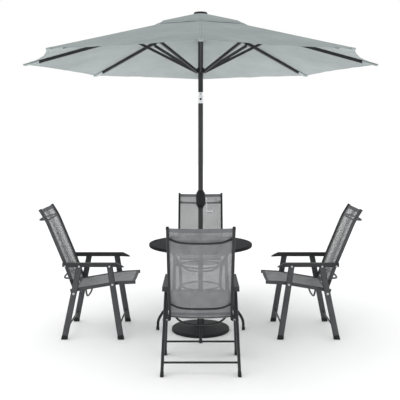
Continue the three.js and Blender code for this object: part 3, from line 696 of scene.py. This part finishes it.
def chair_parts():
    """(piece, body, slot, node it stands for, cloth size) for one chair."""
    parts = []

    def add(o, body, slot, node=None, cloth=None):
        parts.append((o, body, slot, node, cloth))
    for side, hand in ((1, "left"), (-1, "right")):
        add(leg(f"rear_leg_{hand}", 0, REAR_FOOT, side), "legs", "frame", "rear_legs")
        add(boot(f"rear_foot_{hand}", 0, REAR_FOOT, side), "legs", "black_plastic")
        add(leg(f"front_leg_{hand}", FRONT_PIVOT, FRONT_FOOT, side), "front", "frame", "front_legs")
        add(boot(f"front_foot_{hand}", FRONT_PIVOT, FRONT_FOOT, side), "front", "black_plastic")
        add(grooved_rail(f"back_rail_{hand}", BACK_LINE, side, 45), "back", "frame", "back_frame")
        add(rail_plug(f"back_plug_low_{hand}", BACK_LINE, side), "back", "black_plastic")
        add(rail_plug(f"back_plug_top_{hand}", BACK_LINE[::-1], side), "back", "black_plastic")
        add(grooved_rail(f"seat_rail_{hand}", SEAT_LINE, side, 45), "seat", "frame", "seat_frame")
        add(rail_plug(f"seat_plug_rear_{hand}", SEAT_LINE, side), "seat", "black_plastic")
        add(rail_plug(f"seat_plug_front_{hand}", SEAT_LINE[::-1], side), "seat", "black_plastic")
        add(arm_rest(f"arm_{hand}", side), "arms", "arm_plastic", f"{hand}_arm")
        for spot, out, up in (("rear", 0, PIVOT_UP), ("front", FRONT_PIVOT, PIVOT_UP),
                              ("back", *BACK_PIVOT)):
            head = rivet(f"arm_rivet_{spot}_{hand}", (out, ARM_OUTER - 0.4, up), side, 5.5)
            add(head, "arms", "bright_metal")
        low_at = (on_leg(0, REAR_FOOT, SEAT_PIN[1]), leg_outer(SEAT_PIN[1]) + 0.3, SEAT_PIN[1])
        add(rivet(f"seat_rivet_rear_{hand}", low_at, side), "legs", "bright_metal")
        front_out = on_leg(FRONT_PIVOT, FRONT_FOOT, FRONT_PIN_UP)
        front_at = (front_out, leg_outer(FRONT_PIN_UP) + 0.1, FRONT_PIN_UP)
        add(rivet(f"seat_rivet_front_{hand}", front_at, side, 6), "front", "bright_metal")
        # the flat link that pins the back's rail beside the seat's rail, and the seat's pivot lug
        link_bar = swept(f"back_link_{hand}", [(70, 452), (44, 378)], 3, 21, corner=9,
                         middle=side * (RAIL_MIDDLE + RAIL_WIDE / 2 + 2))
        add(dress(soften(link_bar, 0.6, 2, 50), ROD_PAINT), "back", "frame")
        lug = swept(f"seat_lug_{hand}", [(41.8, 374), (44.8, 345)], 6, 25, corner=9,
                    middle=side * (RAIL_MIDDLE + RAIL_WIDE / 2 - 3))
        add(paint_light_on_flat_sides(soften(lug, 0.6, 2, 50)), "seat", "frame")
        for spot, out, up, radius, short in (("rear", *SEAT_PIN, 4.0, 2),
                                             ("front", front_out, FRONT_PIN_UP, 6.5, 20)):
            reach = leg_outer(up) - short
            inner = RAIL_MIDDLE + RAIL_WIDE / 2 - 3
            pin = across_bar(f"seat_pin_{spot}_{hand}", radius, (reach - inner) / 2, (out, up))
            place(pin, shift(0, side * (reach + inner) / 2, 0))
            add(dress(pin, RIVET_STEEL), "seat", "bright_metal")
    for name, body, pivot, foot, up in (("rear_crossbar", "legs", 0, REAR_FOOT, 84),
                                        ("front_crossbar", "front", FRONT_PIVOT, FRONT_FOOT, 99)):
        half = leg_outer(up) - LEG_WIDE / 2
        add(dress(across_bar(name, 7, half, (on_leg(pivot, foot, up), up)), ROD_PAINT), body, "frame")
    add(bowed_rod("back_brace_top", (250, 916), (329, 900)), "back", "frame")
    add(bowed_rod("back_brace_low", (72, 462), (147, 449)), "back", "frame")
    add(bowed_rod("seat_brace", (-40, 386), (-38, 294)), "seat", "frame")
    back, size = sling_cloth_piece("back_cloth", BACK_CLOTH, (9, -3), SLING)
    add(back, "back", "sling_cloth", "back_sling", size)
    # the seat's cloth takes the lighter copy: painted light from above
    seat, size = sling_cloth_piece("seat_cloth", SEAT_CLOTH, (0, -10), SEAT_SLING_PAINTED_LIGHT)
    add(seat, "seat", "sling_cloth", "seat_sling", size)
    bands = (("back_hem_top", BACK_CLOTH, (9, -3), 0.955, 1.0, "back"),
             ("back_seam", BACK_CLOTH, (9, -3), 0.845, 0.865, "back"),
             ("back_hem_low", BACK_CLOTH, (9, -3), 0.0, 0.03, "back"),
             ("seat_hem_front", SEAT_CLOTH, (0, -10), 0.95, 1.0, "seat"),
             ("seat_hem_rear", SEAT_CLOTH, (0, -10), 0.0, 0.04, "seat"))
    for name, line, sag, start, end, body in bands:
        band, size = sling_cloth_piece(name, line, sag, SLING_HEM, thick=3.0, rows=3, start=start, end=end)
        add(band, body, "sling_cloth", None, size)
    return parts


def chairs():
    models = chair_parts()
    for chair, turn in CHAIRS.items():
        to_place = spun(math.radians(turn)) @ shift(CHAIR_OUT, 0, 0)
        for model, body, slot, node, cloth in models:
            o = copy_of(model, f"{chair}_{model.name}", to_place)
            nodes = [f"{chair}_{node}"] if node else []
            belongs(o, f"{chair}_{body}", slot, *nodes)
    for model, *_ in models:
        bpy.data.objects.remove(model)


# ---- Table ----
def table():
    low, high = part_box("table_top")
    radius, top, thick = high[0] / MM, high[2] / MM, (high[2] - low[2]) / MM
    rim = turned("table_rim", [
        (radius - 22, top - thick), (radius - 6, top - thick), (radius - 2, top - thick + 2),
        (radius, top - thick + 7), (radius, top - 6), (radius - 1.8, top - 1.8), (radius - 6, top),
        (radius - 19, top), (radius - 20, top - 1.2), (radius - 22, top - 1.6),
        (radius - 22, top - thick)], 128, hollow=True)
    belongs(dress(rim, TABLE_PAINT), "table", "table_top", "table_top")
    panel = turned("table_panel", [
        (22, top - 8), (radius - 21.6, top - 8), (radius - 21.6, top - 2.4), (radius - 23, top - 1.4),
        (30, top - 1.4), (30, top - 0.6), (22, top - 0.6), (22, top - 8)], 128, hollow=True)
    belongs(dress(panel, TABLE_PAINT), "table", "table_top")
    grommet = turned("mast_grommet", [
        (20.2, top - 9), (22.4, top - 9), (22.4, top - 0.4), (31, top - 0.4), (32, top - 0.2),
        (31, top - 0.05), (21.5, top - 0.02), (20.2, top - 1.4), (20.2, top - 9)], 64, hollow=True)
    belongs(dress(grommet, BLACK_PLASTIC), "table", "black_plastic")

    under = top - 8.3
    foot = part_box("table_legs")[1][0] / MM - 11
    path = eased([(foot, 14), (foot - 3, 84), (foot - 48, 154), (180, 300), (154, 365), (160, 450),
                  (164, 530), (240, under - 46), (TABLE_PAD, under - 6)], 34, 5)
    tube = swept("table_leg", path, radius=11, sides=20)
    dress(tube, FRAME_PAINT)
    cap = turned("table_foot", [(11.4, 0), (13, 1), (13.6, 4), (13, 20), (12, 26), (11.2, 27)], 32)
    place(cap, shift(foot, 0, 0))
    dress(cap, BLACK_PLASTIC)
    bracket = turned("table_bracket", [
        (20, under - 12), (20, under - 3), (26, under - 2.6), (26, under)], 40)
    place(bracket, shift(TABLE_PAD, 0, 0))
    dress(bracket, FRAME_PAINT)
    for k in range(4):
        spin = spun(math.radians(90 * k))
        belongs(copy_of(tube, f"table_leg_{k + 1}", spin), "table", "frame", "table_legs")
        belongs(copy_of(cap, f"table_foot_{k + 1}", spin), "table", "black_plastic")
        belongs(copy_of(bracket, f"table_bracket_{k + 1}", spin), "table", "frame")
    for model in (tube, cap, bracket):
        bpy.data.objects.remove(model)
    for name, radius, up in (("table_ring_low", 147, 360), ("table_ring_high", 154, 530)):
        select_nothing()
        bpy.ops.mesh.primitive_torus_add(major_radius=radius * MM, minor_radius=6 * MM, major_segments=96,
                                         minor_segments=14, location=(0, 0, up * MM))
        loop = settle(fresh(name))
        belongs(dress(smooth(loop), FRAME_PAINT), "table", "frame")


# ---- Umbrella base, mast and crank ----
def base_and_mast():
    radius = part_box("umbrella_base")[1][0] / MM
    bore, stem = 19.4, 26
    stem_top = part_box("umbrella_base")[1][2] / MM
    disc = turned("base_disc", [
        (radius - 3, 0), (radius, 3), (radius, 17), (radius - 1.4, 21), (radius - 5, 23.6),
        (radius - 14, 24.4), (radius * 0.8, 27.4), (radius * 0.6, 32), (radius * 0.4, 36.6),
        (70, 39.4), (56, 41), (50, 42.2), (46, 44), (45, 47), (41, 48.4), (34, 49), (31, 51),
        (30.4, 54), (stem + 0.4, 55)], 128)
    belongs(dress(disc, BASE_PAINT), "table", "base", "umbrella_base")
    tube = turned("base_stem", [
        (bore, 50), (stem, 50), (stem, stem_top - 22), (stem + 2, stem_top - 20), (stem + 2, stem_top - 4),
        (stem + 0.6, stem_top - 1), (stem - 2, stem_top), (bore, stem_top), (bore, 50)], 64, hollow=True)
    belongs(dress(tube, BASE_PAINT), "table", "base")
    low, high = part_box("base_knob")
    screw_up = (low[2] + high[2]) / 2 / MM
    boss = turned("knob_boss", [(11, 24), (11, 33), (9.6, 36), (6, 36.6)], 32)
    to_side = shift(0, 0, screw_up) @ spun(-math.pi / 2, "X")
    belongs(dress(place(boss, to_side), BASE_PAINT), "table", "base")
    core = turned("base_knob_grip", [
        (9, 37.2), (17, 37.6), (18.6, 40), (18.6, 47), (17, 50.4), (12, 51.6)], 40)
    lobes, lobe_out = [], 15
    for turn in (45, 135, 225, 315):
        lobe = turned("lobe", [(7, 37.4), (8.6, 39), (8.6, 48), (7, 51)], 20)
        angle = math.radians(turn)
        place(lobe, shift(lobe_out * math.cos(angle), lobe_out * math.sin(angle), 0))
        lobes.append(lobe)
    grip = place(join("base_knob_grip", core, *lobes), to_side)
    belongs(dress(grip, BLACK_PLASTIC), "knob", "black_plastic", "base_knob")
    shank = turned("base_knob_screw", [(5, 19.5), (5, 44)], 20)
    belongs(dress(place(shank, to_side), RIVET_STEEL), "knob", "bright_metal")

    low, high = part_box("lower_mast")
    low_z, high_z, r = low[2] / MM, high[2] / MM, high[0] / MM
    inner = r - 1.8
    pole = turned("mast_tube_low", [
        (inner, low_z), (r, low_z), (r, high_z), (inner, high_z), (inner, low_z)], 48, hollow=True)
    belongs(dress(pole, MAST_PAINT), "mast", "mast", "lower_mast")

    low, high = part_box("crank_housing")
    bottom, top, half = low[2] / MM, high[2] / MM, -low[0] / MM
    deep = high[1] / MM / half
    stations = [(20.5, bottom), (22, bottom), (24, bottom + 3)]
    for k in range(1, 9):
        angle = math.radians(20 + 8.75 * k)
        stations.append((half * math.sin(angle), bottom + half - half * math.cos(angle)))
    for k in range(8, 0, -1):
        angle = math.radians(20 + 8.75 * k)
        stations.append((half * math.sin(angle), top - half + half * math.cos(angle)))
    stations += [(24, top - 3), (22, top), (20.5, top)]
    case = turned("crank_case", stations, 64)
    place(case, Matrix.Diagonal((1, deep, 1, 1)))
    belongs(dress(case, BLACK_PLASTIC), "mast", "black_plastic", "crank_housing")
    for name, z0, z1 in (("crank_collar_low", bottom - 0.2, bottom + 9),
                         ("crank_collar_top", top - 9, top + 0.2)):
        ring = turned(name, [
            (19.3, z0), (23, z0), (24, z0 + 1), (24, z1 - 1), (23, z1), (19.3, z1), (19.3, z0)],
            48, hollow=True)
        belongs(dress(ring, BLACK_PLASTIC), "mast", "black_plastic")
    crank_up = (high[2] + low[2]) / 2 / MM - 2.5
    sideways = shift(0, 0, crank_up) @ spun(math.pi / 2, "Y")
    boss = turned("crank_boss", [
        (20, 24), (20, half - 1.5), (18.6, half), (16, half + 0.9), (7, half + 1)], 48)
    belongs(dress(place(boss, sideways), BLACK_PLASTIC), "mast", "black_plastic")
    # the crank: hub, cranked flat lever, and a waisted grip on its pin
    face = half + 1.3
    reach = crank_up - (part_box("crank_handle")[0][2] / MM + 8)
    hub = turned("crank_hub", [
        (5, 22), (5, face), (11, face), (12, face + 1), (12, face + 11.6), (11, face + 12.8),
        (6, face + 13)], 32)
    belongs(dress(place(hub, sideways), BRIGHT_SLEEVE), "crank", "crank_metal", "crank_handle")
    lever_line = [(face + 10, crank_up + 6), (face + 10, crank_up - reach - 6)]
    lever = swept("crank_lever", lever_line, 13, 4.4, corner=1.2)
    belongs(dress(soften(lever, 0.7, 2, 50), BRIGHT_SLEEVE), "crank", "crank_metal")
    grip = turned("crank_grip", [
        (5, face + 12.4), (8, face + 13), (8.4, face + 16), (7.2, face + 26), (7, face + 36),
        (7.8, face + 50), (8, face + 57), (6.6, face + 59.6), (3, face + 60)], 32)
    at_grip = shift(0, 0, crank_up - reach) @ spun(math.pi / 2, "Y")
    belongs(dress(place(grip, at_grip), BRIGHT_SLEEVE), "crank", "crank_metal")


def tilt_and_top():
    low, shell, bead = 1800, 20.2, 21.1
    sleeve = turned("tilt_sleeve", [
        (shell - 1, low), (shell, low + 1), (shell, low + 6), (bead, low + 7), (bead, low + 10),
        (shell, low + 11), (shell, TILT_UP - 22), (bead, TILT_UP - 21), (bead, TILT_UP - 18),
        (shell, TILT_UP - 17), (shell, TILT_UP - 16)], 64)
    belongs(dress(sleeve, BRIGHT_SLEEVE), "mast", "bright_metal", "tilt_knuckle")
    ears = []
    for side in (1, -1):
        ear = swept("ear", [(0, TILT_UP - 17), (0, TILT_UP)], 5.2, 31, middle=side * 11)
        pick(ear, lambda c, n: n.z > 0.9)
        before, up = 1.0, 0.0
        for k in range(1, 8):
            angle = k * math.pi / 14.6
            share, rise = math.cos(angle), math.sin(angle) * 15.5
            bpy.ops.mesh.extrude_region_move(TRANSFORM_OT_translate={"value": (0, 0, (rise - up) * MM)})
            bpy.ops.transform.resize(value=(share / before, 1, 1), center_override=(0, 0, 0))
            before, up = share, rise
        done(ear)
        ears.append(ear)
    ears = soften(join("tilt_ears", *ears), 0.8, 2, 50)
    belongs(dress(ears, BRIGHT_SLEEVE), "mast", "bright_metal")
    bolt = across_bar("tilt_bolt", 5.4, 14.6, (0, TILT_UP), 6)
    belongs(dress(bolt, CRANK_STEEL), "mast", "bright_metal")
    button = turned("tilt_button", [(9, 17), (9, 20.4), (8, 21.6), (5.6, 22.2), (5.2, 21.7)], 32)
    to_front = shift(0, 0, low + 32) @ spun(math.pi / 2, "X")
    belongs(dress(place(button, to_front), BLACK_PLASTIC), "mast", "black_plastic")

    r, top, shoulder = 19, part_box("upper_mast")[1][2] / MM, TILT_UP + 16
    tube = turned("mast_tube_top", [
        (r - 2, shoulder), (r + 1, shoulder), (r + 1, shoulder + 3), (r, shoulder + 4), (r, top),
        (r - 2, top)], 48)
    belongs(dress(tube, MAST_PAINT), "shade", "mast", "upper_mast")
    eye = across_bar("tilt_eye", 14.5, 7, (0, TILT_UP), 40)
    belongs(dress(eye, CRANK_STEEL), "shade", "bright_metal")
    neck = soften(block("tilt_neck", 24, 14, 18, (0, 0, TILT_UP + 10)), 1.2)
    belongs(dress(neck, CRANK_STEEL), "shade", "bright_metal")


def slots(inner, outer, low, high):
    made = []
    for k in range(RIBS):
        far = outer + 12
        middle = ((far + inner) / 2, 0, (low + high) / 2)
        tool = block("slot", far - inner, SLOT_WIDE, high - low + 4, middle)
        made.append(place(tool, spun(k * WEDGE)))
    return made


def hub_and_runner():
    low, high = HUB_PIN[1] - 8, HUB_PIN[1] + 6
    collar = turned("canopy_collar", [
        (19.3, low), (43, low), (45, low + 2), (45, high - 2), (43, high), (19.3, high),
        (19.3, low)], 64, hollow=True)
    minus(collar, *slots(25.5, 45, low, high))
    belongs(dress(soften(collar, 0.5, 2, 50), BLACK_PLASTIC), "shade", "black_plastic", "canopy_hub")
    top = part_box("canopy_hub")[1][2] / MM
    cloth_top = top - 23
    finial = turned("finial", [
        (15.5, cloth_top - 32), (15.5, cloth_top + 2.2), (48, cloth_top + 2.4), (51.5, cloth_top + 3),
        (52.5, cloth_top + 5), (52.5, cloth_top + 14), (51.8, cloth_top + 17.4),
        (49.6, cloth_top + 19.6), (46, cloth_top + 20.6), (45, cloth_top + 20.2),
        (44, cloth_top + 20.8), (26, cloth_top + 22.4), (6, cloth_top + 23)], 64)
    belongs(dress(finial, BLACK_PLASTIC), "shade", "black_plastic")
    low, high = [c[2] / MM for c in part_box("runner")]
    collar = turned("runner_collar", [
        (21, low), (44.5, low), (46.5, low + 2), (46.5, low + 22), (43, low + 25), (34, low + 28),
        (31, low + 31), (30, high - 1), (28.6, high), (21, high), (21, low)], 64, hollow=True)
    minus(collar, *slots(26.5, 46.5, low, high))
    belongs(dress(soften(collar, 0.5, 2, 50), BLACK_PLASTIC), "runner", "black_plastic", "runner")
    for k in range(RIBS):
        spin = spun(k * WEDGE)
        for node in (f"rib_{k + 1}", f"strut_{k + 1}"):
            dress(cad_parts[node], MAST_PAINT)
        for name, at, body, long in (("rib_pin", HUB_PIN, "shade", 8),
                                     ("strut_pin", RUNNER_PIN, "runner", 8),
                                     ("elbow_pin", ELBOW_PIN, f"rib_{k + 1}", 10.5)):
            pin = across_bar(f"{name}_{k + 1}", 3.4, long, at, 14)
            belongs(dress(place(pin, spin), RIVET_STEEL), body, "bright_metal")


# ---- Canopy ----
ROOF_TOP, ROOF_EDGE = 2470, 2099
ROOF_IN, ROOF_OUT = 30, 1371.6
CLOTHS = {                      # curve, sag, lift, proud and hem in millimetres
    "roof": {"outer": ROOF_OUT, "curve": 55, "sag": 14, "lift": 0, "proud": 0, "hem": 24,
             "columns": 14, "rows": 44},
    "vent": {"outer": 410, "curve": 10, "sag": 0, "lift": 18, "proud": 1.6, "hem": 16,
             "columns": 8, "rows": 28},
}
SLOPE = math.atan2(ROOF_TOP - ROOF_EDGE, ROOF_OUT)


def roof_height(reach):
    return ROOF_TOP - reach * math.tan(SLOPE)


def half_gore(name, k, side, outer, curve, sag, lift, proud, hem, columns, rows):
    """Half of a gore, from a rib's seam to the middle between two ribs, and its flat size and area.

    Its edge curves in and its middle sags between the ribs; it can be lifted, or stand proud at its edge.
    """
    start, inner = k * WEDGE, ROOF_IN

    def reach_at(share, b):
        belly = 4 * share * (1 - share)
        return inner + (outer - curve * belly - inner) * b, belly

    def point(a, b):
        share, b = (a / 2 if side > 0 else (1 - a) / 2), 1 - b
        reach, belly = reach_at(share, b)
        first, second = start, start + side * WEDGE
        x = reach * ((1 - share) * math.cos(first) + share * math.cos(second))
        y = reach * ((1 - share) * math.sin(first) + share * math.sin(second))
        rise = lift * (1 if b < 0.93 else (1 - b) / 0.07)
        z = roof_height(reach) + proud + rise - sag * belly * b * b
        ripple = 5.0 * noise.noise(Vector((x, y, 0)) * 0.0075)
        ripple += 1.6 * noise.noise(Vector((x, y, 50)) * 0.02)
        ripple *= 0.8 if lift else 1.0
        z += ripple * belly * b - (0 if lift else 2.5 * belly * b)
        return (x * MM, y * MM, z * MM)

    def uv(a, b):
        share, b = (a / 2 if side > 0 else (1 - a) / 2), 1 - b
        reach, _ = reach_at(share, b)
        return (share * reach * WEDGE * MM * 0.97, (1 - b) * (outer - inner) / math.cos(SLOPE) * MM)

    # the underside shell takes the lighter copy: painted light through the cloth
    cloth, flat_area = grid_cloth(name, columns, rows, point, 1.3, uv, [CLOTH_OUT, CLOTH_IN_PAINTED_LIGHT], -1.0)
    pick(cloth, lambda c, n: n.z > 0.8 and c.xy.length > hem_line(c, start, outer, curve, hem))
    bpy.ops.mesh.extrude_region_shrink_fatten(TRANSFORM_OT_shrink_fatten={"value": 0.7 * MM})
    bpy.ops.object.mode_set(mode="OBJECT")
    smooth(cloth, 50)
    width = outer * math.sin(WEDGE / 2) * MM
    length = (outer - inner) / math.cos(SLOPE) * MM
    return cloth, (width, length), flat_area


def hem_line(c, start, outer, curve, hem):
    """How far out the hem's turned-under band begins, in the direction of a point."""
    angle = abs(math.atan2(c.y, c.x) - start)
    angle = min(angle, 2 * math.pi - angle)
    share = min(1, math.tan(angle) / (math.tan(angle) * (1 - math.cos(WEDGE)) + math.sin(WEDGE)))
    reach = outer - curve * 4 * share * (1 - share) - hem
    chord = math.hypot((1 - share) + share * math.cos(WEDGE), share * math.sin(WEDGE))
    return reach * chord * MM


def canopy():
    for k in range(RIBS):
        start = k * WEDGE
        body = f"rib_{k + 1}"
        seam_top = Vector((math.cos(start) * ROOF_IN, math.sin(start) * ROOF_IN, roof_height(ROOF_IN))) * MM
        level = math.cos(SLOPE)
        seam_way = Vector((math.cos(start) * level, math.sin(start) * level, -math.sin(SLOPE)))
        for side, hand in ((1, "a"), (-1, "b")):
            middle = start + side * WEDGE / 2
            reach = 1000 * math.cos(WEDGE / 2)
            far = Vector((reach * math.cos(middle), reach * math.sin(middle), roof_height(1000))) * MM
            away = far - seam_top
            away = (away - seam_way * away.dot(seam_way)).normalized()
            for name, cut in CLOTHS.items():
                cloth, size, flat_area = half_gore(f"{name}_{k + 1}{hand}", k, side, **cut)
                belongs(cloth, body, "canopy_cloth", "canopy")
                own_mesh(cloth)
        tip_out, tip_in = ROOF_OUT - 3, ROOF_OUT - 126
        pocket = swept(f"rib_pocket_{k + 1}", [
            (tip_in, roof_height(tip_in) - 8.0), (tip_in + 18, roof_height(tip_in + 18) - 10.2),
            (tip_out - 16, roof_height(tip_out - 16) - 10.2), (tip_out, roof_height(tip_out) - 5.5)],
            34, 15, corner=6)
        soften(pocket, 3, 3, 40)
        place(pocket, spun(start))
        belongs(dress(pocket, POCKET_CLOTH), body, "canopy_cloth")


# ---- Camera, floor and light ----
def studio():
    camera = bpy.data.objects.new("camera", bpy.data.cameras.new("camera"))
    bpy.context.collection.objects.link(camera)
    camera.location = (-0.0048, -5.2612, 1.5491)
    camera.rotation_euler = (math.radians(84.535), 0, 0)
    camera.data.sensor_width = 36
    camera.data.lens = 60.41
    bpy.context.scene.camera = camera
    select_nothing()
    bpy.ops.mesh.primitive_plane_add(size=60, location=(0, 0, -0.0008))
    floor = fresh("floor")
    paint, surface, node, link = shader("floor_paint")
    where = node("ShaderNodeTexCoord")
    cloud = node("ShaderNodeTexNoise", in_Scale=0.6, in_Detail=3.0)
    link(where.outputs["Object"], cloud.inputs["Vector"])
    colours = ramp(node, [(0.3, (0.92, 0.92, 0.92, 1)), (0.7, (0.94, 0.94, 0.94, 1))])
    link(cloud.outputs["Fac"], colours.inputs["Fac"])
    link(colours.outputs["Color"], surface.inputs["Base Color"])
    surface.inputs["Roughness"].default_value = 0.9
    dress(floor, paint)
    world = bpy.data.worlds.new("studio")
    bpy.context.scene.world = world
    world.use_nodes = True
    sky = world.node_tree.nodes["Background"]
    sky.inputs["Color"].default_value = (1, 1, 1, 1)
    sky.inputs["Strength"].default_value = 1.0

    def lamp(name, kind, at, aim, energy, size):
        light = bpy.data.lights.new(name, kind)
        light.energy = energy
        if kind == "AREA":
            light.size = size
        else:
            light.angle = size
        o = bpy.data.objects.new(name, light)
        bpy.context.collection.objects.link(o)
        o.location = at
        o.rotation_euler = (Vector(aim) - Vector(at)).to_track_quat("-Z", "Y").to_euler()
        return o
    glow = lamp("glow", "AREA", (0, 0, 0.06), (0, 0, 3), 31, 3.4)
    glow.data.spread = math.radians(75)
    glow.visible_camera = glow.visible_glossy = False
    for name, at in (("left_fill", (-4.2, -0.6, 2.0)), ("right_fill", (4.2, -0.6, 2.0))):
        fill = lamp(name, "AREA", at, (0, 0, 0.7), 10, 2.6)
        fill.visible_camera = fill.visible_glossy = False
    spill = lamp("spill", "AREA", (0, -0.1, 2.0), (0, 0, 0), 3, 2.4)
    spill.visible_camera = spill.visible_glossy = False
    lamp("key", "SUN", (-2, -1.5, 8), (0, 0, 1), 0.75, math.radians(60))
    bpy.context.scene.view_settings.view_transform = "Standard"


studio()
chairs()
table()
base_and_mast()
tilt_and_top()
hub_and_runner()
canopy()
select_nothing()
